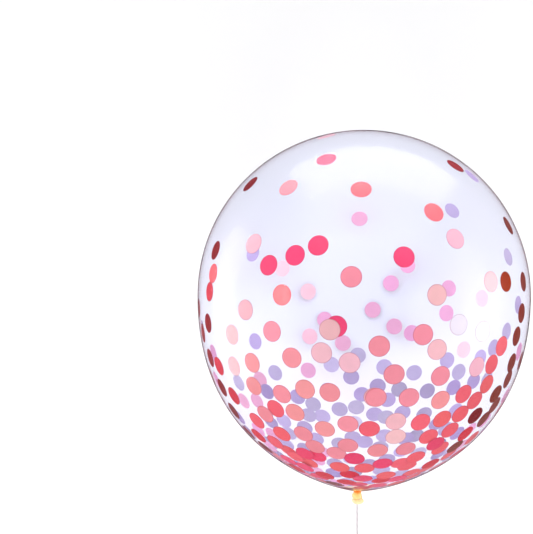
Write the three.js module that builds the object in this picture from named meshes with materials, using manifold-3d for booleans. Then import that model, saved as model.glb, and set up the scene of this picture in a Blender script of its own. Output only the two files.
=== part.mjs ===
import * as THREE from "three";
import { mergeVertices } from "three/addons/utils/BufferGeometryUtils.js";
import Module from "manifold-3d";

// A clear latex balloon for confetti, lying on its side. Its axis runs along Y, with the crown
// towards +Y and the knot towards -Y, and it rests on a small flat spot. Millimetres, +Z up.

// Skin of the balloon
const bellyRadius = 225; // the widest, and the radius of the round crown
const neckDrop = 45; // from the crown's sphere down to the top of the neck
const neckRadius = 5.2;
const neckLength = 2; // bare neck above the knot
const neckFillet = 2; // rounding between the skin and the neck
const coneAngle = THREE.MathUtils.degToRad(78); // of the skin to the axis, where it meets the neck
const shoulderShare = 0.62; // how far the belly keeps its width, as a share of its length
const coneShare = 0.49; // how far the cone stays straight, as a share of the belly's radius
const flatSpotWidth = 90; // across the flat spot that the balloon rests on

// Knot, and the tail of the mouth below it
const knotLength = 6;
const knotRadius = 6.5;
const foldRadius = 2.1; // of the slanting fold that wraps the knot
const foldReach = 4.4; // from the axis to the middle of the fold
const foldTilt = THREE.MathUtils.degToRad(16);
const waistRadius = 4.6; // where the string pulls the latex in
const tailLength = 5.6;
const tailRadius = 7.6;
const lipRadius = 1.2; // of the rolled rim at the mouth's end
const dimpleDepth = 1.9;
const joinOverlap = 0.4; // of the knot into the neck

// String
const stringRadius = 1;
const fitGap = 0.3; // between pieces that touch
const beadRadius = 2; // of the small knot in the string
const coilMiddleRadius = 11;
const turnsAcross = 3;
const turnsHigh = 4;
const coilCentre = new THREE.Vector2(9, -385);
const bandWall = 0.5; // of the band that holds the coil
const bandWidth = 4;
const bandLift = 0.1; // of the band above the surface

// Route of the free stretch of string, from the knot down to the surface and along it
const stringRoute = [
  [0, -248.7, 211.2],
  [0.4, -249.3, 204],
  [1.7, -251.6, 190],
  [4.2, -255.4, 169],
  [6.6, -259.2, 147],
  [8.9, -263.2, 124],
  [11.1, -267.8, 101],
  [13.1, -272.8, 79],
  [15.0, -278.6, 58],
  [16.8, -285.0, 39],
  [18.3, -292.0, 23],
  [19.4, -300.0, 11],
  [20.2, -309.6, 4],
  [20.6, -319.8, 1.5],
  [20.9, -330.5, 1.1],
  [21.2, -341.5, 1.1],
  [21.5, -353.0, 1.1],
  [21.8, -364.5, 1.3],
  [22.0, -376.6, 1.9],
];
const stringStep = 2.5 * 2 * stringRadius; // along the string, between two sections

// Numbers of flats that stand for round forms
const skinSides = 64;
const knotSides = 24;
const coilSides = 32;
const stringSides = 8;
const curveSteps = 16;

// Places along the axis, measured from the middle of the crown's sphere towards the knot
const neckTop = bellyRadius + neckDrop;
const knotTop = neckTop + neckLength;
const knotEnd = knotTop + knotLength;
const waistLength = 2 * (stringRadius + fitGap);
const tailTop = knotEnd + waistLength;
const tailEnd = tailTop + tailLength;
const axisHeight = Math.sqrt(bellyRadius ** 2 - (flatSpotWidth / 2) ** 2);
const sphereY = (tailEnd - bellyRadius) / 2;

const wasm = await Module();
wasm.setup();

// A closed geometry as a solid that can be joined and cut
function solidOf(geometry) {
  const bare = geometry.clone();
  bare.deleteAttribute("normal");
  bare.deleteAttribute("uv");
  const merged = mergeVertices(bare);
  const mesh = new wasm.Mesh({
    numProp: 3,
    vertProperties: merged.attributes.position.array,
    triVerts: new Uint32Array(merged.index.array),
  });
  return new wasm.Manifold(mesh);
}

function geometryOf(solid) {
  const { vertProperties, triVerts } = solid.getMesh();
  const geometry = new THREE.BufferGeometry();
  geometry.setAttribute("position", new THREE.BufferAttribute(vertProperties, 3));
  geometry.setIndex(new THREE.BufferAttribute(triVerts, 1));
  geometry.computeVertexNormals();
  return geometry;
}

function material(color, roughness, opacity = 1) {
  const transparent = opacity < 1;
  return new THREE.MeshStandardMaterial({ color, roughness, metalness: 0, opacity, transparent });
}

// A point of a turned outline: its distance from the axis, and its place along it towards the knot
function station(radius, distance) {
  return new THREE.Vector2(radius, -distance);
}

// Skin: round crown, full belly, straight cone, fillet and neck
function skinGeometry() {
  const outline = [station(0, knotTop + knotLength / 2), station(neckRadius, knotTop + knotLength / 2)];
  const filletSteps = 4;
  for (let i = 0; i <= filletSteps; i += 1) {
    const turn = (coneAngle * i) / filletSteps;
    const radius = neckRadius + neckFillet * (1 - Math.cos(turn));
    outline.push(station(radius, neckTop - neckFillet * Math.sin(turn)));
  }
  const coneFoot = outline.at(-1);
  const coneReach = coneShare * bellyRadius;
  const coneHandle = new THREE.Vector2(Math.sin(coneAngle), Math.cos(coneAngle))
    .multiplyScalar(coneReach)
    .add(coneFoot);
  const shoulderHandle = station(bellyRadius, shoulderShare * neckTop);
  const widest = station(bellyRadius, 0);
  const belly = new THREE.CubicBezierCurve(coneFoot, coneHandle, shoulderHandle, widest);
  outline.push(...belly.getPoints(curveSteps).slice(1));
  for (let i = 1; i <= curveSteps; i += 1) {
    const turn = (Math.PI / 2) * (i / curveSteps);
    const radius = i < curveSteps ? bellyRadius * Math.cos(turn) : 0;
    outline.push(station(radius, -bellyRadius * Math.sin(turn)));
  }
  return new THREE.LatheGeometry(outline, skinSides);
}

// Knot, waist and tail: the mouth's rolled rim closes the tail, with a dimple inside it
function knotGeometry() {
  const rimDistance = tailEnd - lipRadius;
  const rimReach = waistRadius + lipRadius / 2;
  const tail = new THREE.SplineCurve([
    station(waistRadius, tailTop),
    station(tailRadius, tailTop + 0.37 * tailLength),
    station(tailRadius - lipRadius / 2, tailTop + 0.62 * tailLength),
    station(rimReach + lipRadius, rimDistance),
  ]);
  const bulge = new THREE.SplineCurve([
    station(waistRadius - joinOverlap, knotTop - joinOverlap),
    station(0.94 * knotRadius, knotTop + 0.25 * knotLength),
    station(knotRadius, knotTop + 0.55 * knotLength),
    station(waistRadius, knotEnd),
  ]);
  const rimSteps = 4;
  const rim = Array.from({ length: rimSteps }, (_, i) => {
    const turn = (Math.PI * (i + 1)) / rimSteps;
    const radius = rimReach + lipRadius * Math.cos(turn);
    return station(radius, rimDistance + lipRadius * Math.sin(turn));
  });
  const outline = [
    station(0, knotTop - joinOverlap),
    ...bulge.getPoints(8),
    ...tail.getPoints(8),
    ...rim,
    station(0, tailEnd - dimpleDepth),
  ];
  return new THREE.LatheGeometry(outline.reverse(), knotSides);
}

// The end of the mouth, folded over the knot on a slant
function foldGeometry() {
  const fold = new THREE.TorusGeometry(foldReach, foldRadius, 12, knotSides);
  fold.rotateX(Math.PI / 2);
  fold.rotateZ(-foldTilt);
  fold.translate(0, -(knotTop + 0.36 * knotLength), 0);
  return fold;
}

// Everything below the surface that the balloon lies on
function belowSurface() {
  const size = 4 * bellyRadius;
  const block = new THREE.BoxGeometry(size, size, size);
  block.translate(0, 0, -axisHeight - size / 2);
  return block;
}

function balloon() {
  const body = solidOf(skinGeometry())
    .add(solidOf(knotGeometry()))
    .add(solidOf(foldGeometry()))
    .subtract(solidOf(belowSurface()));
  const mesh = new THREE.Mesh(geometryOf(body), material(0xeeedfb, 0.08, 0.35));
  mesh.name = "balloon";
  mesh.position.set(0, sphereY, axisHeight);
  return mesh;
}

// One turn of string in the knot's waist, tied off in a bead on the underside
function stringTie() {
  const tieReach = waistRadius + fitGap + stringRadius;
  const wrap = new THREE.TorusGeometry(tieReach, stringRadius, stringSides, knotSides);
  wrap.rotateX(Math.PI / 2);
  const bead = new THREE.SphereGeometry(beadRadius, 12, 8);
  bead.translate(0, 0, -(tieReach + beadRadius / 2));
  const mesh = new THREE.Mesh(geometryOf(solidOf(wrap).add(solidOf(bead))), material(0xe6dfe2, 0.8));
  mesh.name = "string_tie";
  mesh.position.set(0, sphereY - (knotEnd + waistLength / 2), axisHeight);
  return mesh;
}

function stringRun() {
  const path = new THREE.CatmullRomCurve3(stringRoute.map((point) => new THREE.Vector3(...point)));
  const section = new THREE.Shape();
  for (let i = 0; i < stringSides; i += 1) {
    const turn = (2 * Math.PI * i) / stringSides;
    const x = stringRadius * Math.cos(turn);
    const y = stringRadius * Math.sin(turn);
    if (i === 0) section.moveTo(x, y);
    else section.lineTo(x, y);
  }
  section.closePath();
  const steps = Math.round(path.getLength() / stringStep);
  const tube = new THREE.ExtrudeGeometry(section, { steps, extrudePath: path });
  const mesh = new THREE.Mesh(tube, material(0xe6dfe2, 0.8));
  mesh.name = "string_run";
  return mesh;
}

const coilHalfWidth = turnsAcross * stringRadius;
const coilHeight = turnsHigh * 2 * stringRadius;
const coilBase = bandLift + bandWall + fitGap;

// Outer shape of the wound-up string
function stringCoil() {
  const inner = coilMiddleRadius - coilHalfWidth;
  const outer = coilMiddleRadius + coilHalfWidth;
  const round = stringRadius / 2;
  const outline = [
    new THREE.Vector2(inner, round),
    new THREE.Vector2(inner + round, 0),
    new THREE.Vector2(outer - round, 0),
    new THREE.Vector2(outer, round),
    new THREE.Vector2(outer, coilHeight - round),
    new THREE.Vector2(outer - round, coilHeight),
    new THREE.Vector2(inner + round, coilHeight),
    new THREE.Vector2(inner, coilHeight - round),
    new THREE.Vector2(inner, round),
  ];
  const ring = new THREE.LatheGeometry(outline, coilSides);
  const mesh = new THREE.Mesh(ring, material(0xe6dfe2, 0.8));
  mesh.name = "string_coil";
  mesh.rotation.x = Math.PI / 2;
  mesh.position.set(coilCentre.x, coilCentre.y, coilBase);
  return mesh;
}

// A rectangle about the middle of the coil's section
function frameOutline(halfWidth, halfHeight, outline) {
  outline.moveTo(-halfWidth, -halfHeight);
  outline.lineTo(halfWidth, -halfHeight);
  outline.lineTo(halfWidth, halfHeight);
  outline.lineTo(-halfWidth, halfHeight);
  outline.closePath();
  return outline;
}

// Band round the coil's section, on the side away from the balloon
function coilTie() {
  const halfWidth = coilHalfWidth + fitGap;
  const halfHeight = coilHeight / 2 + fitGap;
  const section = frameOutline(halfWidth + bandWall, halfHeight + bandWall, new THREE.Shape());
  section.holes.push(frameOutline(halfWidth, halfHeight, new THREE.Path()));
  const band = new THREE.ExtrudeGeometry(section, { depth: bandWidth, bevelEnabled: false });
  band.translate(0, 0, -bandWidth / 2);
  const mesh = new THREE.Mesh(band, material(0xffffff, 0.5));
  const towards = new THREE.Matrix4().makeBasis(
    new THREE.Vector3(0, 1, 0),
    new THREE.Vector3(0, 0, 1),
    new THREE.Vector3(1, 0, 0),
  );
  mesh.name = "coil_tie";
  mesh.quaternion.setFromRotationMatrix(towards);
  mesh.position.set(coilCentre.x, coilCentre.y - coilMiddleRadius, coilBase + coilHeight / 2);
  return mesh;
}

const confettiBalloon = new THREE.Group();
confettiBalloon.add(balloon(), stringTie(), stringRun(), stringCoil(), coilTie());

export default confettiBalloon;
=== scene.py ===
import math
import random

import bmesh
import bpy
from mathutils import Matrix, Vector
from mathutils.bvhtree import BVHTree


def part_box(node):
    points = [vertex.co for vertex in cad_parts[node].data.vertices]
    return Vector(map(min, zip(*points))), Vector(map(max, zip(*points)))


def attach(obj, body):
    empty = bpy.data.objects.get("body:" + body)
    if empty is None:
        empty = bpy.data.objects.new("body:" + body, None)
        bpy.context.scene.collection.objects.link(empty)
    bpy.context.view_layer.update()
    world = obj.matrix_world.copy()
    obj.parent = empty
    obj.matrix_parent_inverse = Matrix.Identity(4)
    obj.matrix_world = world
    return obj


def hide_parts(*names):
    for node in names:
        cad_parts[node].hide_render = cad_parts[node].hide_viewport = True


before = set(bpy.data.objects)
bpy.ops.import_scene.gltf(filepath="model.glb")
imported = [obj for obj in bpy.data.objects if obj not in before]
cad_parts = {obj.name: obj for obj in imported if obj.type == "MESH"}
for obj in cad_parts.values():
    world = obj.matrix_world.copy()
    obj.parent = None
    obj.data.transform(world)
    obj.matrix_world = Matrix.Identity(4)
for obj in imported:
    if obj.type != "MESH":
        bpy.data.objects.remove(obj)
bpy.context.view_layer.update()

# Sizes in metres, taken from the solid or the same as in it
BALLOON_LOW, BALLOON_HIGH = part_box("balloon")
RADIUS = (BALLOON_HIGH.x - BALLOON_LOW.x) / 2
CENTRE = Vector((0, BALLOON_HIGH.y - RADIUS, BALLOON_HIGH.z - RADIUS))
TAIL_END = CENTRE.y - BALLOON_LOW.y
WALL = 0.0006
NECK_TOP = RADIUS + 0.045
NECK_RADIUS = 0.0052
NECK_FILLET = 0.002
CONE_ANGLE = math.radians(78)
SHOULDER_SHARE = 0.62
CONE_SHARE = 0.49
KNOT_TOP = NECK_TOP + 0.002
KNOT_END = KNOT_TOP + 0.006
WAIST_RADIUS = 0.0046
TIE_REACH = WAIST_RADIUS - 0.0008  # how far in the string draws the waist
TAIL_TOP = KNOT_END + 0.0026
FOLD_RADIUS = 0.0021
FOLD_REACH = 0.0042
FOLD_TILT = math.radians(-16)
FOLD_SHIFT = -0.0006  # how far the fold sits to one side
DISC_RADIUS = 0.0127
STRING_RADIUS = 0.001
SURFACE = -0.0006  # the floor, just under the pieces
STEP_INSIDE = 0.002  # a short way in from the skin

# The photograph's view of the balloon, in its own pixels
IMAGE = (533, 534)
OUTLINE_MIDDLE = (359.3, 293.2)
OUTLINE_RADIUS = 166
CAMERA_AT = Vector((-0.1316, 0.0664, CENTRE.z + 1.4175))
CAMERA_ROLL = math.radians(1.26)
LENS = 69.6
SENSOR = 36


def linear(red, green, blue, fourth=1.0):
    """A screen colour, 0 to 255, as light."""
    def channel(value):
        share = value / 255
        return share / 12.92 if share <= 0.04045 else ((share + 0.055) / 1.055) ** 2.4
    return channel(red), channel(green), channel(blue), fourth


def add_object(name, data):
    piece = bpy.data.objects.new(name, data)
    bpy.context.scene.collection.objects.link(piece)
    return piece


def mesh_object(name, bm, material, smooth=True):
    mesh = bpy.data.meshes.new(name)
    bm.to_mesh(mesh)
    bm.free()
    mesh.materials.append(material)
    if smooth:
        mesh.shade_smooth()
    else:
        mesh.shade_flat()
    return add_object(name, mesh)


# Camera

def make_camera():
    camera = bpy.data.cameras.new("camera")
    camera.sensor_width = SENSOR
    camera.lens = LENS
    piece = add_object("camera", camera)
    piece.location = CAMERA_AT
    piece.rotation_euler = (0, 0, CAMERA_ROLL)
    bpy.context.scene.camera = piece


def sight_line(across, up):
    """The camera's direction to a place, given from the outline's middle in shares of its radius."""
    column = OUTLINE_MIDDLE[0] + across * OUTLINE_RADIUS - IMAGE[0] / 2
    row = OUTLINE_MIDDLE[1] - up * OUTLINE_RADIUS - IMAGE[1] / 2
    focal = LENS / SENSOR * IMAGE[0]
    turn = Matrix.Rotation(CAMERA_ROLL, 3, "Z")
    return (turn @ Vector((column, -row, -focal))).normalized()


# Materials

def new_material(name):
    material = bpy.data.materials.new(name)
    material.use_nodes = True
    nodes = material.node_tree.nodes
    return material, nodes, material.node_tree.links, nodes["Principled BSDF"]


def feed(links, socket, value):
    """Gives a socket a plain value, or links it to another node's output."""
    if isinstance(value, bpy.types.NodeSocket):
        links.new(value, socket)
    else:
        socket.default_value = value


def math_node(nodes, links, operation, *values):
    node = nodes.new("ShaderNodeMath")
    node.operation = operation
    for socket, value in zip(node.inputs, values):
        feed(links, socket, value)
    return node.outputs["Value"]


def map_range(nodes, links, value, low, high, to_low=0.0, to_high=1.0):
    """The value with the span from low to high moved to another span, and cut off at its ends."""
    node = nodes.new("ShaderNodeMapRange")
    feed(links, node.inputs["Value"], value)
    feed(links, node.inputs["From Min"], low)
    feed(links, node.inputs["From Max"], high)
    feed(links, node.inputs["To Min"], to_low)
    feed(links, node.inputs["To Max"], to_high)
    return node.outputs["Result"]


def ramp(nodes, links, share, first, last, between=()):
    """The colour at a share, with each stop given as a share from 0 to 1 and a colour."""
    node = nodes.new("ShaderNodeValToRGB")
    stops = node.color_ramp.elements
    stops[0].position, stops[0].color = first
    stops[1].position, stops[1].color = last
    for position, colour in between:
        stops.new(position).color = colour
    links.new(share, node.inputs["Fac"])
    return node.outputs["Color"]


def parts_of(nodes, links, vector):
    """The outputs X, Y and Z of a vector."""
    parts = nodes.new("ShaderNodeSeparateXYZ")
    links.new(vector, parts.inputs["Vector"])
    return parts.outputs


def fine_grain():
    """Shared surface grain: how light the colour is, and a height for the bump."""
    group = bpy.data.node_groups.new("fine_grain", "ShaderNodeTree")
    for name, low in (("Size", 0.001), ("Contrast", 0.0)):
        socket = group.interface.new_socket(name, in_out="INPUT", socket_type="NodeSocketFloat")
        socket.min_value = low
    group.interface.new_socket("Shade", in_out="OUTPUT", socket_type="NodeSocketFloat")
    group.interface.new_socket("Height", in_out="OUTPUT", socket_type="NodeSocketFloat")
    nodes, links = group.nodes, group.links
    given, result = nodes.new("NodeGroupInput"), nodes.new("NodeGroupOutput")
    place = nodes.new("ShaderNodeTexCoord")
    noise = nodes.new("ShaderNodeTexNoise")
    noise.inputs["Detail"].default_value = 3.0
    links.new(place.outputs["Object"], noise.inputs["Vector"])
    links.new(math_node(nodes, links, "DIVIDE", 1.0, given.outputs["Size"]), noise.inputs["Scale"])
    darkest = math_node(nodes, links, "SUBTRACT", 1.0, given.outputs["Contrast"])
    shade = map_range(nodes, links, noise.outputs["Fac"], 0.0, 1.0, to_low=darkest)
    links.new(shade, result.inputs["Shade"])
    links.new(noise.outputs["Fac"], result.inputs["Height"])
    return group


def grained(nodes, links, shader, grain, colour, size, contrast, depth):
    """Places the grain in a material: it shades the colour and raises a fine bump."""
    texture = nodes.new("ShaderNodeGroup")
    texture.node_tree = grain
    texture.inputs["Size"].default_value = size
    texture.inputs["Contrast"].default_value = contrast
    shaded = nodes.new("ShaderNodeMix")
    shaded.data_type = "RGBA"
    shaded.blend_type = "MULTIPLY"
    shaded.inputs["Factor"].default_value = 1.0
    feed(links, shaded.inputs["A"], colour)
    links.new(texture.outputs["Shade"], shaded.inputs["B"])
    links.new(shaded.outputs["Result"], shader.inputs["Base Color"])
    bump = nodes.new("ShaderNodeBump")
    bump.inputs["Distance"].default_value = depth
    links.new(texture.outputs["Height"], bump.inputs["Height"])
    links.new(bump.outputs["Normal"], shader.inputs["Normal"])


LATEX_TINT = (0.912, 0.924, 0.975, 1)
LATEX_AMBER = (0.95, 0.62, 0.3, 1)
AMBER_LENGTH = 0.012  # how far from the neck the amber reaches


def skin_material(name, gloss, grain):
    """Clear latex: faintly tinted, amber where it gathers at the neck, with a soft gloss outside."""
    material, nodes, links, shader = new_material(name)
    place = parts_of(nodes, links, nodes.new("ShaderNodeTexCoord").outputs["Object"])
    neck = CENTRE.y - NECK_TOP
    gathered = map_range(nodes, links, place["Y"], neck + AMBER_LENGTH, neck)
    colour = ramp(nodes, links, gathered, (0.0, LATEX_TINT), (1.0, LATEX_AMBER))
    grained(nodes, links, shader, grain, colour, size=0.08, contrast=0.03, depth=0.0008)
    shader.inputs["Roughness"].default_value = 0.0
    shader.inputs["IOR"].default_value = 1.03
    shader.inputs["Transmission Weight"].default_value = 1.0
    grazing = nodes.new("ShaderNodeLayerWeight")
    grazing.inputs["Blend"].default_value = 0.3
    if gloss:
        # the gloss is softer where the view grazes the skin
        sheen = map_range(
            nodes, links, grazing.outputs["Facing"], low=0.1, high=0.75, to_low=0.28, to_high=0.03
        )
        links.new(sheen, shader.inputs["Coat Weight"])
        shader.inputs["Coat Roughness"].default_value = 0.24
        shader.inputs["Coat IOR"].default_value = 1.3
    # its shadow is faint, and darker where the light grazes it
    light = nodes.new("ShaderNodeLightPath")
    shade = nodes.new("ShaderNodeMix")
    shade.data_type = "FLOAT"
    shade.inputs["A"].default_value = 1.0
    links.new(light.outputs["Is Shadow Ray"], shade.inputs["Factor"])
    links.new(grazing.outputs["Facing"], shade.inputs["B"])
    links.new(shade.outputs["Result"], shader.inputs["Alpha"])
    return material


def foil_material(grain):
    """Thin foil: metallic outside and matt inside, each disc with its own tints."""
    material, nodes, links, shader = new_material("foil")
    tint = nodes.new("ShaderNodeAttribute")
    tint.attribute_name = "tint"
    grained(nodes, links, shader, grain, tint.outputs["Color"], size=0.009, contrast=0.13, depth=0.0005)
    links.new(tint.outputs["Alpha"], shader.inputs["Metallic"])
    shader.inputs["Roughness"].default_value = 0.28
    shader.inputs["Specular IOR Level"].default_value = 0.25
    return material


def knot_material(grain):
    """Thick gathered latex: amber at the neck and paler towards the mouth."""
    material, nodes, links, shader = new_material("amber_latex")
    place = parts_of(nodes, links, nodes.new("ShaderNodeTexCoord").outputs["Object"])
    along = map_range(nodes, links, place["Y"], CENTRE.y - KNOT_TOP + 0.003, CENTRE.y - TAIL_END)
    colour = ramp(
        nodes, links, along,
        first=(0.05, linear(238, 158, 84)),
        last=(0.75, linear(240, 222, 164)),
        between=[(0.2, linear(242, 204, 112))],
    )
    grained(nodes, links, shader, grain, colour, size=0.003, contrast=0.18, depth=0.0003)
    shader.inputs["Roughness"].default_value = 0.35
    shader.inputs["Subsurface Weight"].default_value = 0.25
    shader.inputs["Subsurface Radius"].default_value = (0.004, 0.003, 0.001)
    return material


STRING_TWISTS = 230
STRING_PLIES = 2


def string_material(grain):
    """Two thin plies twisted together, shown by a darker slanting line that is painted shade where the
    plies meet.
    """
    material, nodes, links, shader = new_material("string")
    place = parts_of(nodes, links, nodes.new("ShaderNodeUVMap").outputs["UV"])
    lengthwise = math_node(nodes, links, "MULTIPLY", place["X"], 2 * math.pi * STRING_TWISTS)
    slant = math_node(nodes, links, "MULTIPLY_ADD", place["Y"], 2 * math.pi * STRING_PLIES, lengthwise)
    # the hollow between the plies is painted darker: painted shade
    painted_ply_shade = map_range(nodes, links, math_node(nodes, links, "SINE", slant), -1.0, 1.0)
    colour = ramp(nodes, links, painted_ply_shade, (0.0, linear(172, 164, 170)), (0.22, linear(208, 201, 206)))
    grained(nodes, links, shader, grain, colour, size=0.0008, contrast=0.2, depth=0.0001)
    shader.inputs["Roughness"].default_value = 0.75
    return material


def band_material(grain):
    material, nodes, links, shader = new_material("band")
    grained(nodes, links, shader, grain, linear(226, 222, 216), size=0.002, contrast=0.1, depth=0.0001)
    shader.inputs["Roughness"].default_value = 0.4
    return material


# Skin

def bezier(start, first, second, end, share):
    rest = 1 - share
    return (
        rest**3 * start
        + 3 * rest**2 * share * first
        + 3 * rest * share**2 * second
        + share**3 * end
    )


def skin_outline():
    """The outline from the neck to the crown, by distance from the axis and place towards the knot."""
    points = [Vector((0, KNOT_TOP + 0.003)), Vector((NECK_RADIUS, KNOT_TOP + 0.003))]
    fillet_steps = 5
    for step in range(fillet_steps + 1):
        turn = CONE_ANGLE * step / fillet_steps
        radius = NECK_RADIUS + NECK_FILLET * (1 - math.cos(turn))
        points.append(Vector((radius, NECK_TOP - NECK_FILLET * math.sin(turn))))
    foot = points[-1]
    straight = CONE_SHARE * RADIUS * Vector((math.sin(CONE_ANGLE), -math.cos(CONE_ANGLE)))
    shoulder = Vector((RADIUS, SHOULDER_SHARE * NECK_TOP))
    widest = Vector((RADIUS, 0))
    belly_steps = 44
    for step in range(1, belly_steps + 1):
        points.append(bezier(foot, foot + straight, shoulder, widest, step / belly_steps))
    crown_steps = 40
    for step in range(1, crown_steps):
        turn = math.pi / 2 * step / crown_steps
        points.append(RADIUS * Vector((math.cos(turn), -math.sin(turn))))
    points.append(Vector((0, -RADIUS)))
    return points


def spin_round(bm, geometry, middle, steps):
    """Turns an outline fully round a line along the balloon."""
    bmesh.ops.spin(
        bm,
        geom=geometry,
        cent=middle,
        axis=(0, 1, 0),
        angle=2 * math.pi,
        steps=steps,
        use_merge=True,
    )


def turned(points, steps):
    """A bmesh of the outline turned round the balloon's axis."""
    bm = bmesh.new()
    verts = [bm.verts.new(CENTRE + Vector((point.x, -point.y, 0))) for point in points]
    edges = [bm.edges.new(pair) for pair in zip(verts, verts[1:])]
    spin_round(bm, verts + edges, CENTRE, steps)
    bmesh.ops.remove_doubles(bm, verts=bm.verts, dist=1e-6)
    bmesh.ops.recalc_face_normals(bm, faces=bm.faces)
    return bm


def press_flat(bm, softness=0.0012, lift=0.0002):
    """The skin gives way where it rests, with a soft edge round the flat spot."""
    reach = 12 * softness  # higher up, the bend is too small to matter
    for vert in bm.verts:
        height = vert.co.z - lift
        if height < reach:
            vert.co.z = lift + softness * math.log(1 + math.exp(height / softness))


def make_skin(outer, inner):
    """The skin, with its clear material outside and inside. Gives back a search tree of its surface."""
    bm = turned(skin_outline(), steps=144)
    press_flat(bm)
    tree = BVHTree.FromBMesh(bm)
    skin = mesh_object("skin", bm, outer)
    skin.data.materials.append(inner)
    wall = skin.modifiers.new("wall", "SOLIDIFY")
    wall.thickness = WALL
    wall.offset = -1
    wall.material_offset = 1
    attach(skin, "root")
    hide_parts("balloon")
    return tree


# Confetti

# How metallic the faces of the foil are
BRIGHT, SATIN, MATT = 1.0, 0.2, 0.0
OUTSIDE = {
    "coral": linear(255, 103, 110, SATIN),
    "salmon": linear(255, 151, 156, SATIN),
    "pale": linear(255, 188, 194, SATIN),
    # near white: a painted highlight, the foil washed out by the gleam
    "blush": linear(255, 246, 244, MATT),
    "pink": linear(248, 72, 112, SATIN),
    "crimson": linear(226, 34, 58, SATIN),
    # the next two tints: red and brown foil, made dark as painted reflection of the dark room where the
    # view grazes the foil
    "ruby": linear(184, 8, 26, BRIGHT),
    "copper": linear(186, 62, 6, BRIGHT),
}
INSIDE = {
    "lilac": linear(192, 178, 214, MATT),
    "purple": linear(172, 156, 194, MATT),
    "orchid": linear(238, 172, 206, MATT),
    "peach": linear(255, 206, 210, MATT),
}

# Discs on the near side, by colour, in shares of the outline's radius
NEAR = {
    "salmon": [
        (-.43, .64), (-.05, .10), (.12, -.32), (.21, -.49), (.385, -.25), (.49, -.50),
        (-.18, -.60), (-.41, -.39), (.10, -.63), (.30, -.63), (.49, -.645), (-.57, -.73), (-.39, -.72),
        (-.34, -.85), (-.21, -.82), (-.07, -.79), (-.07, -.92), (.11, -.95), (.28, -.94),
        (-.27, -.93), (-.14, -.97), (-.53, -.23), (-.64, -.56), (-.47, -.61), (-.33, -.58),
        (-.65, -.42),
    ],
    "pale": [
        (-.64, .30), (.58, .33), (-.69, -.10), (-.18, -.22), (-.23, -.36),
        (-.06, -.42), (.47, -.34), (.47, -.01), (.795, .07), (.71, -.445), (.09, -.63), (-.77, -.25),
        (-.76, -.44), (.22, -.775), (.22, -.87),
    ],
    "pink": [
        (-.20, .81), (-.25, .29), (-.39, .23), (.27, .22), (-.55, .17), (-.14, -.20), (.46, -.91),
        (.02, -1.12), (.11, -1.16), (.23, -1.12), (-.33, -1.05), (-.43, -1.01), (-.33, -.97),
        (-.26, -.99), (-.03, -1.0), (.14, -1.03),
    ],
    # discs inside the right gleam, coloured near white as painted highlight
    "blush": [(.60, -.19), (.745, -.23)],
    "coral": [
        (.45, .49), (.01, .63), (-.47, -.01), (-.885, .12), (.80, -.43), (.86, -.32), (.77, -.55),
        (.63, -.61), (.70, -.65), (.61, -.73), (.50, -.76), (-.51, -.70), (-.62, -.77), (-.47, -.85),
        (-.51, -.90), (.06, -.82), (.37, -.78), (.42, -.87), (.55, -.83), (-.12, -1.05), (.03, -1.06),
        (.25, -1.03), (.34, -.99), (.49, -.94), (.29, -1.05), (-.39, -.99), (-.43, -.96), (-.31, -1.03),
        (.16, -1.10),
    ],
    "crimson": [
        (-.91, .01), (-.85, -.44), (-.76, -.62), (-.21, -1.10), (-.06, -1.10), (-.08, -1.14),
        (.64, -.85), (.43, -1.03), (-.61, -.86),
    ],
    # discs along the outline, tinted dark as painted reflection of the dark surroundings at a grazing view
    "ruby": [
        (-.29, .94), (-.66, .66), (.58, .77), (-.87, .26), (-.98, .01), (-.97, -.09), (-.915, -.18),
        (-.945, -.24), (-.90, -.39), (-.83, -.57), (-.76, -.71), (-.89, -.50), (-.67, -.84),
        (-.57, -.93), (.70, -.74), (-.06, -1.18), (-.15, -1.15),
    ],
    "copper": [
        (.90, .41), (.885, .07), (.99, .07), (.98, -.12), (.95, -.26), (.92, -.42), (.90, -.52),
        (.825, -.61), (.97, -.41), (.82, -.68), (.75, -.76), (.58, -.93),
    ],
}

# Discs on the far side, whose inner faces show
FAR = {
    "orchid": [
        (0, .45), (.29, .17), (.19, .06), (.08, -.10), (.21, -.20), (-.21, -.16), (.315, -.24),
        (.54, .03), (.525, -.12), (-.10, -.30), (-.31, -.465), (-.60, -.52), (-.70, -.65),
        (-.62, -.65),
    ],
    "lilac": [
        (.56, .50), (.68, .71), (-.645, .24), (-.01, -.375), (-.17, -.43), (.15, -.445),
        (.33, -.48), (.60, -.475), (.90, .22), (.96, -.07), (.89, -.23), (.81, -.33),
        (-.51, -.48), (-.63, -.29), (.53, -.405), (.58, -.71), (-.73, -.54), (.73, -.39),
        (.77, -.52),
    ],
    "peach": [(-.465, .15), (-.31, .01), (-.30, -.26), (.74, -.03), (.63, -.34), (-.20, .95)],
    "purple": [
        (-.05, -.505), (.57, -.57), (.41, -.59), (.24, -.58), (.11, -.56), (.015, -.61),
        (-.02, -.69), (.17, -.645), (-.19, -.585), (-.28, -.67), (-.225, -.745),
        (-.375, -.625), (-.56, -.595), (.69, -.53), (-.31, -.74), (-.12, -.70), (.26, -.72),
        (.09, -.73), (.16, -.75), (.34, -.86), (-.04, -.87), (.03, -.90), (-.12, -.91),
        (.15, -.86), (.28, -.88), (.39, -.73), (-.33, -.81),
    ],
}


def far_point(tree, across, up):
    """The place where the sight line leaves the balloon, and the skin's outward direction there."""
    way = sight_line(across, up)
    first, _, _, _ = tree.ray_cast(CAMERA_AT, way)
    if first is None:
        return None
    place, outward, _, _ = tree.ray_cast(first + way * STEP_INSIDE, way)
    return (place, outward) if place else None


def near_point(tree, across, up):
    """The place where the sight line meets the balloon, and the skin's outward direction there."""
    place, outward, _, _ = tree.ray_cast(CAMERA_AT, sight_line(across, up))
    return (place, outward) if place else None


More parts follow.
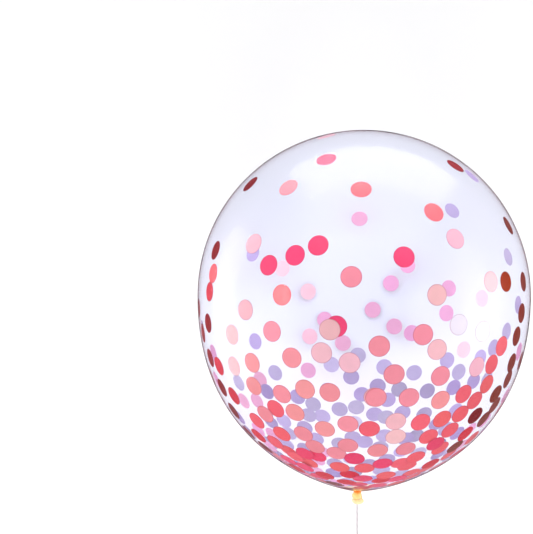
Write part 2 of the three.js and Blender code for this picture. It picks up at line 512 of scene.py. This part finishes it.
class Confetti:
    """All the foil discs, in one bmesh, each with the tints of its two faces."""

    thickness = 0.00016
    sides = 22
    # the rim that is turned inwards: its width and drop, and how much of its tint it keeps under the
    # painted shade along the edge
    edge = 0.0006
    edge_drop = 0.00012
    rim_painted_shade = (0.7, 0.55, 0.6, 1.0)
    # layers: the gap to the skin, the step from one to the next, and how far apart, in
    # disc radii, two discs of one layer have to be
    skin_gap = 0.0002
    layer = 0.0008
    apart = 2.05
    lean = 0.012

    def __init__(self, tree, seed):
        self.bm = bmesh.new()
        self.tint = self.bm.loops.layers.float_color.new("tint")
        self.tree = tree
        self.draw = random.Random(seed)
        self.layers = []  # each disc's place on the skin, and the number of its layer

    def crowded(self, place, spacing):
        return any((other - place).length < spacing * DISC_RADIUS for other, _ in self.layers)

    def free_layer(self, place):
        """The outermost layer that has no disc near this place."""
        reach = self.apart * DISC_RADIUS
        taken = {layer for other, layer in self.layers if (other - place).length < reach}
        return next(layer for layer in range(len(taken) + 1) if layer not in taken)

    def settle(self, verts, outward, gap):
        """Moves a disc inwards or outwards until its rim has the given gap to the skin's inside."""
        def clearance(vert):
            skin, facing, _, _ = self.tree.find_nearest(vert.co)
            return (skin - vert.co).dot(facing)
        shift = WALL + gap - min(clearance(vert) for vert in verts)
        bmesh.ops.translate(self.bm, verts=verts, vec=-outward * shift)

    def paint(self, faces, tint):
        for face in faces:
            for loop in face.loops:
                loop[self.tint] = tint

    def add(self, place, outward, outside, inside):
        """A disc just inside the skin: cut foil, its rim turned a little inwards."""
        layer = self.free_layer(place)
        self.layers.append((place.copy(), layer))
        lean = self.draw.uniform(-self.lean, self.lean)
        matrix = (
            Matrix.Translation(place - outward * STEP_INSIDE)
            @ outward.to_track_quat("Z", "Y").to_matrix().to_4x4()
            @ Matrix.Rotation(self.draw.uniform(0, 2 * math.pi), 4, "Z")
            @ Matrix.Rotation(lean, 4, "X")
        )
        made = bmesh.ops.create_cone(
            self.bm,
            cap_ends=True,
            segments=self.sides,
            radius1=DISC_RADIUS,
            radius2=DISC_RADIUS,
            depth=self.thickness,
            matrix=matrix,
        )["verts"]
        self.settle(made, outward, self.skin_gap + self.layer * layer)
        faces = {face for vert in made for face in vert.link_faces}
        caps = [face for face in faces if len(face.verts) == self.sides]
        front = max(caps, key=lambda face: face.normal.dot(outward))
        self.paint(faces, inside)
        self.paint([front], outside)
        rim = bmesh.ops.inset_region(
            self.bm, faces=[front], thickness=self.edge, depth=self.edge_drop, use_even_offset=True
        )["faces"]
        # the turned rim is painted darker all round: painted shade standing in for the dark edge outline
        self.paint(rim, tuple(share * kept for share, kept in zip(outside, self.rim_painted_shade)))


def varied(draw, colour, spread=0.06):
    """The colour, a little lighter or darker and warmer or cooler."""
    light = 1 + draw.uniform(-spread, spread)
    warm = draw.uniform(-spread, spread)
    red, green, blue, metal = colour
    return (
        min(1, red * light),
        min(1, green * light * (1 + warm)),
        min(1, blue * light * (1 - warm)),
        metal,
    )


# For the scattered discs, along runs from 0 at the widest place to 1.2 at the neck, in shares of
# the balloon's radius. Facing runs from -1, where the skin faces the camera, to 1, where it faces
# away from it.
SCATTER_TRIES = 3000
SCATTER_SPAN = (0.1, 1.19)
AXIS_GAP = 1.7  # in disc radii, as is the spacing
CLOSE_SPACING = 1.42
BACK_SPACING = 1.95
BACK_FACING = 0.3
THINS_FROM = 0.95
THINNING = 4


def listed_zone(facing, along):
    """Whether a place lies where the lists above say what the photo shows."""
    front = facing < -0.3 and along < 1.1
    upper_rim = facing < -0.1 and along < 0.55
    upper_back = facing > BACK_FACING and along < 0.8
    return front or upper_rim or upper_back


def scatter_spacing(facing, along):
    """How far apart the discs keep: wider at the back, and wider towards the crown."""
    least = BACK_SPACING if facing > BACK_FACING else CLOSE_SPACING
    return max(least, CLOSE_SPACING + THINNING * (THINS_FROM - along))


def scatter(confetti):
    """The rest of the crowd: close together round the neck, and thinning out towards the crown."""
    draw = confetti.draw
    for _ in range(SCATTER_TRIES):
        along = draw.uniform(*SCATTER_SPAN)
        around = draw.uniform(0, 2 * math.pi)
        way = Vector((math.cos(around), 0, math.sin(around)))
        start = CENTRE - Vector((0, along * RADIUS, 0))
        place, outward, _, _ = confetti.tree.ray_cast(start, way)
        if place is None or (place - start).length < AXIS_GAP * DISC_RADIUS:
            continue
        facing = outward.normalized().dot((place - CAMERA_AT).normalized())
        if listed_zone(facing, along) or confetti.crowded(place, scatter_spacing(facing, along)):
            continue
        shades = ["coral", "pink", "pink", "crimson"] if along > 1 else ["coral", "salmon", "pink"]
        outside = draw.choice(shades)
        inside = draw.choice(["lilac", "purple", "purple", "orchid"])
        confetti.add(place, outward, varied(draw, OUTSIDE[outside]), varied(draw, INSIDE[inside]))


def make_confetti(tree, material):
    """The discs that the lists place, and then the scattered ones."""
    confetti = Confetti(tree, seed=7)
    draw = confetti.draw
    for colour, spots in NEAR.items():
        for across, up in spots:
            found = near_point(tree, across, up)
            if found:
                inside = draw.choice(["lilac", "purple", "orchid"])
                confetti.add(*found, varied(draw, OUTSIDE[colour]), INSIDE[inside])
    for colour, spots in FAR.items():
        for across, up in spots:
            found = far_point(tree, across, up)
            if found:
                outside = draw.choice(["coral", "salmon", "pink"])
                confetti.add(*found, OUTSIDE[outside], varied(draw, INSIDE[colour]))
    scatter(confetti)
    discs = mesh_object("confetti", confetti.bm, material, smooth=False)
    discs.visible_shadow = False
    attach(discs, "root")


# Knot

# The knot's outline from the neck to inside the mouth, by distance from the axis and place along it
KNOT_OUTLINE = [
    (0.0, KNOT_TOP - 0.004), (NECK_RADIUS - 0.0008, KNOT_TOP - 0.004), (NECK_RADIUS, KNOT_TOP - 0.001),
    (0.0058, KNOT_TOP + 0.0004), (0.0066, KNOT_TOP + 0.0020), (0.0069, KNOT_TOP + 0.0042),
    (0.0068, KNOT_END + 0.0004), (0.0058, KNOT_END + 0.0010), (WAIST_RADIUS, KNOT_END + 0.0012),
    (WAIST_RADIUS, TAIL_TOP - 0.0012), (0.0064, TAIL_TOP - 0.0010), (0.0076, TAIL_TOP - 0.0004),
    (0.0080, TAIL_TOP + 0.0006), (0.0081, TAIL_TOP + 0.0018), (0.0078, TAIL_TOP + 0.0030),
    (0.0070, TAIL_END - 0.0020), (0.0058, TAIL_END - 0.0007), (0.0044, TAIL_END),
    (0.0030, TAIL_END - 0.0004), (0.0, TAIL_END - 0.0016),
]
KNOT_TWIST = 80  # radians in each metre along the knot
KNOT_RIPPLES = ((3, 0.05), (11, 0.02))  # how many go round, and how deep they are for the radius
PLEATS, PLEAT_DEPTH = 7, 0.05
FLARE_LENGTH = 0.002  # the pleats deepen over this length of the mouth
KNOT_LEAN = 0.0009  # how far the mouth hangs to one side, and the stub to the other
LEAN_MIDDLE, LEAN_LENGTH = 0.007, 0.004


def make_knot(material):
    """The tied neck: a twisted stub with a rolled fold round it, the waist, and the flared mouth."""
    bm = turned([Vector(point) for point in KNOT_OUTLINE], steps=72)
    for vert in bm.verts:
        outward = Vector((vert.co.x - CENTRE.x, 0, vert.co.z - CENTRE.z))
        along = CENTRE.y - vert.co.y - KNOT_TOP
        angle = math.atan2(outward.z, outward.x) + KNOT_TWIST * along
        swell = sum(depth * math.sin(count * angle) for count, depth in KNOT_RIPPLES)
        flare = max(0.0, min(1.0, (along + KNOT_TOP - TAIL_TOP) / FLARE_LENGTH))
        swell += PLEAT_DEPTH * flare * math.sin(PLEATS * angle)
        inside_neck = along < -0.0005
        lean = 0.0 if inside_neck else KNOT_LEAN * max(-1.0, min(1.0, (along - LEAN_MIDDLE) / LEAN_LENGTH))
        vert.co += outward * swell + Vector((lean, 0, 0))
    # the rolled fold, tilted across the stub
    stub_verts = set(bm.verts)
    fold = Vector((FOLD_SHIFT, CENTRE.y - (KNOT_TOP + KNOT_END) / 2, CENTRE.z))
    bmesh.ops.create_circle(
        bm, segments=16, radius=FOLD_RADIUS, matrix=Matrix.Translation(fold + Vector((FOLD_REACH, 0, 0)))
    )
    ring = [vert for vert in bm.verts if vert not in stub_verts]
    edges = list({edge for vert in ring for edge in vert.link_edges})
    spin_round(bm, ring + edges, fold, steps=48)
    rolled = [vert for vert in bm.verts if vert not in stub_verts]
    bmesh.ops.rotate(bm, verts=rolled, cent=fold, matrix=Matrix.Rotation(FOLD_TILT, 3, "Z"))
    bmesh.ops.recalc_face_normals(bm, faces=bm.faces)
    knot = mesh_object("knot", bm, material)
    merged = knot.modifiers.new("merged", "REMESH")
    merged.mode = "VOXEL"
    merged.voxel_size = 0.00025
    merged.use_smooth_shade = True
    softened = knot.modifiers.new("softened", "SMOOTH")
    softened.factor = 0.5
    softened.iterations = 3
    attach(knot, "root")


# String

# The route of the free stretch, in metres, as in the solid
STRING_ROUTE = [
    (0, -.2487, .2112), (.0004, -.2493, .204), (.0017, -.2516, .190), (.0042, -.2554, .169),
    (.0066, -.2592, .147), (.0089, -.2632, .124), (.0111, -.2678, .101), (.0131, -.2728, .079),
    (.0150, -.2786, .058), (.0168, -.2850, .039), (.0183, -.2920, .023), (.0194, -.3000, .011),
    (.0202, -.3096, .004), (.0206, -.3198, .0015), (.0209, -.3305, .0011),
    (.0212, -.3415, .0011), (.0215, -.3530, .0011), (.0218, -.3645, .0013),
    (.0220, -.3766, .0019),
]
COIL_CENTRE = Vector((0.009, -0.385))
COIL_BASE = 0.0009
COIL_TURNS = [(0.013, 0.011, 0.009), (0.009, 0.011, 0.013)] * 2  # radii of each layer's turns
POINTS_PER_TURN = 16
CROSSING = 0.6  # the share of a turn after which the string goes over to the next one


def coil_points():
    """Turns that lie beside and on each other, wound clockwise from the tangent of the free stretch."""
    radii = [radius for layer in COIL_TURNS for radius in layer]
    heights = [
        COIL_BASE + STRING_RADIUS * (1 + 2 * layer)
        for layer, turns in enumerate(COIL_TURNS)
        for _ in turns
    ]
    points = []
    total = len(radii) * POINTS_PER_TURN
    for step in range(total):
        turn, part = divmod(step, POINTS_PER_TURN)
        after = min(turn + 1, len(radii) - 1)
        ease = max(0.0, (part / POINTS_PER_TURN - CROSSING) / (1 - CROSSING))
        radius = radii[turn] + (radii[after] - radii[turn]) * ease
        height = heights[turn] + (heights[after] - heights[turn]) * ease
        angle = -2 * math.pi * step / POINTS_PER_TURN
        points.append(
            (
                COIL_CENTRE.x + radius * math.cos(angle),
                COIL_CENTRE.y + radius * math.sin(angle),
                height,
            )
        )
    return points


def path_length(points):
    return sum((Vector(b) - Vector(a)).length for a, b in zip(points, points[1:]))


def make_string(material):
    """The string in one piece, from the knot to the coil's end. Gives back its length as well."""
    points = [*STRING_ROUTE, *coil_points()]
    curve = bpy.data.curves.new("string", "CURVE")
    curve.dimensions = "3D"
    curve.bevel_depth = STRING_RADIUS
    curve.bevel_resolution = 3
    curve.resolution_u = 4
    curve.use_fill_caps = True
    spline = curve.splines.new("BEZIER")
    spline.bezier_points.add(len(points) - 1)
    for point, place in zip(spline.bezier_points, points):
        point.co = place
        point.handle_left_type = point.handle_right_type = "AUTO"
    curve.materials.append(material)
    string = add_object("string", curve)
    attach(string, "root")
    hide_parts("string_run", "string_coil")
    return string, path_length(points)


BEAD_RADIUS = 0.002
BEAD_DROP = WAIST_RADIUS + 0.0023  # how far under the axis the bead sits


def make_tie(material):
    """The turn of string in the knot's waist, and the bead that it is tied off in."""
    reach = TIE_REACH + STRING_RADIUS
    middle = CENTRE + Vector((0, -(KNOT_END + TAIL_TOP) / 2, 0))
    bm = bmesh.new()
    ring = bmesh.ops.create_circle(
        bm, segments=12, radius=STRING_RADIUS, matrix=Matrix.Translation(middle + Vector((reach, 0, 0)))
    )
    spin_round(bm, ring["verts"] + bm.edges[:], middle, steps=36)
    bmesh.ops.recalc_face_normals(bm, faces=bm.faces)
    bead = Matrix.Translation(middle - Vector((0, 0, BEAD_DROP))) @ Matrix.Diagonal((1, 0.9, 1, 1))
    bmesh.ops.create_uvsphere(bm, u_segments=20, v_segments=12, radius=BEAD_RADIUS, matrix=bead)
    tie = mesh_object("string_knot", bm, material)
    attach(tie, "root")
    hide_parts("string_tie")
    return tie


# Light and floor

FLOOR_REACH = 30
FLOOR_PALE = (0.94, 0.94, 0.94, 1)
FLOOR_MIRRORED = (0.36, 0.2, 0.2, 1)
SKY_DARK = (0.05, 0.035, 0.04, 1)
SKY_BRIGHT = (1, 1, 1, 1)


def make_floor():
    bm = bmesh.new()
    bmesh.ops.create_grid(
        bm, x_segments=1, y_segments=1, size=FLOOR_REACH, matrix=Matrix.Translation((0, 0, SURFACE))
    )
    material, nodes, links, shader = new_material("floor")
    # pale to the eye, and dark where the foil mirrors it
    light = nodes.new("ShaderNodeLightPath")
    mirrored = math_node(nodes, links, "MINIMUM", light.outputs["Glossy Depth"], 1.0)
    colour = nodes.new("ShaderNodeMix")
    colour.data_type = "RGBA"
    feed(links, colour.inputs["A"], FLOOR_PALE)
    feed(links, colour.inputs["B"], FLOOR_MIRRORED)
    feed(links, colour.inputs["Factor"], mirrored)
    links.new(colour.outputs["Result"], shader.inputs["Base Color"])
    shader.inputs["Roughness"].default_value = 0.9
    shader.inputs["Specular IOR Level"].default_value = 0.0
    floor = mesh_object("floor", bm, material, smooth=False)
    floor.visible_glossy = False
    floor.visible_shadow = False


def make_sky():
    world = bpy.data.worlds.new("studio")
    bpy.context.scene.world = world
    world.use_nodes = True
    nodes, links = world.node_tree.nodes, world.node_tree.links
    background = nodes["Background"]
    way = parts_of(nodes, links, nodes.new("ShaderNodeTexCoord").outputs["Generated"])
    # dark below the sides and behind the crown, and bright below the neck
    neck_side = math_node(nodes, links, "MINIMUM", way["Y"], 0.0)
    height = math_node(nodes, links, "MULTIPLY_ADD", neck_side, -0.9, way["Z"])
    share = map_range(nodes, links, height, -1.0, 1.0)
    links.new(ramp(nodes, links, share, (0.2, SKY_DARK), (0.37, SKY_BRIGHT)), background.inputs["Color"])
    background.inputs["Strength"].default_value = 1.0


def make_lamp(name, place, size, power, target=CENTRE, shape="RECTANGLE"):
    light = bpy.data.lights.new(name, "AREA")
    light.shape = shape
    light.size, light.size_y = size
    light.energy = power
    lamp = add_object(name, light)
    place = Vector(place)
    lamp.location = place
    lamp.rotation_euler = (Vector(target) - place).to_track_quat("-Z", "Y").to_euler()
    lamp.visible_camera = False
    lamp.visible_transmission = False
    return lamp


def make_lamps():
    """A soft fill from the neck's side, and soft boxes that only gleam on the skin."""
    fill = make_lamp("fill", (0, -1.7, 1.3), (1.5, 1.0), 15)
    fill.visible_glossy = False
    for gleam in (
        make_lamp("left_strip", (-1.1, -0.03, -0.02), (1.3, 0.5), 28),
        make_lamp("right_round", (1.25, -0.03, 0.53), (0.7, 0.75), 13, shape="ELLIPSE"),
        make_lamp("left_slit", (-1.2, 0.02, 1.1), (0.4, 0.1), 4),
        make_lamp("crown_panel", (0.1, 1.9, 1.3), (3.0, 2.6), 90),
        make_lamp("crown_strip", (0.15, 1.9, 0.05), (2.6, 1.4), 200),
    ):
        gleam.visible_diffuse = False


def main():
    make_camera()
    grain = fine_grain()
    string_finish = string_material(grain)
    string, length = make_string(string_finish)
    tie = make_tie(string_finish)
    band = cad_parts["coil_tie"]
    band.data.materials.clear()
    band.data.materials.append(band_material(grain))
    tree = make_skin(
        skin_material("clear_latex", True, grain), skin_material("clear_latex_inside", False, grain)
    )
    make_confetti(tree, foil_material(grain))
    make_knot(knot_material(grain))
    make_floor()
    make_sky()
    make_lamps()
    bpy.context.scene.view_settings.view_transform = "Standard"


main()
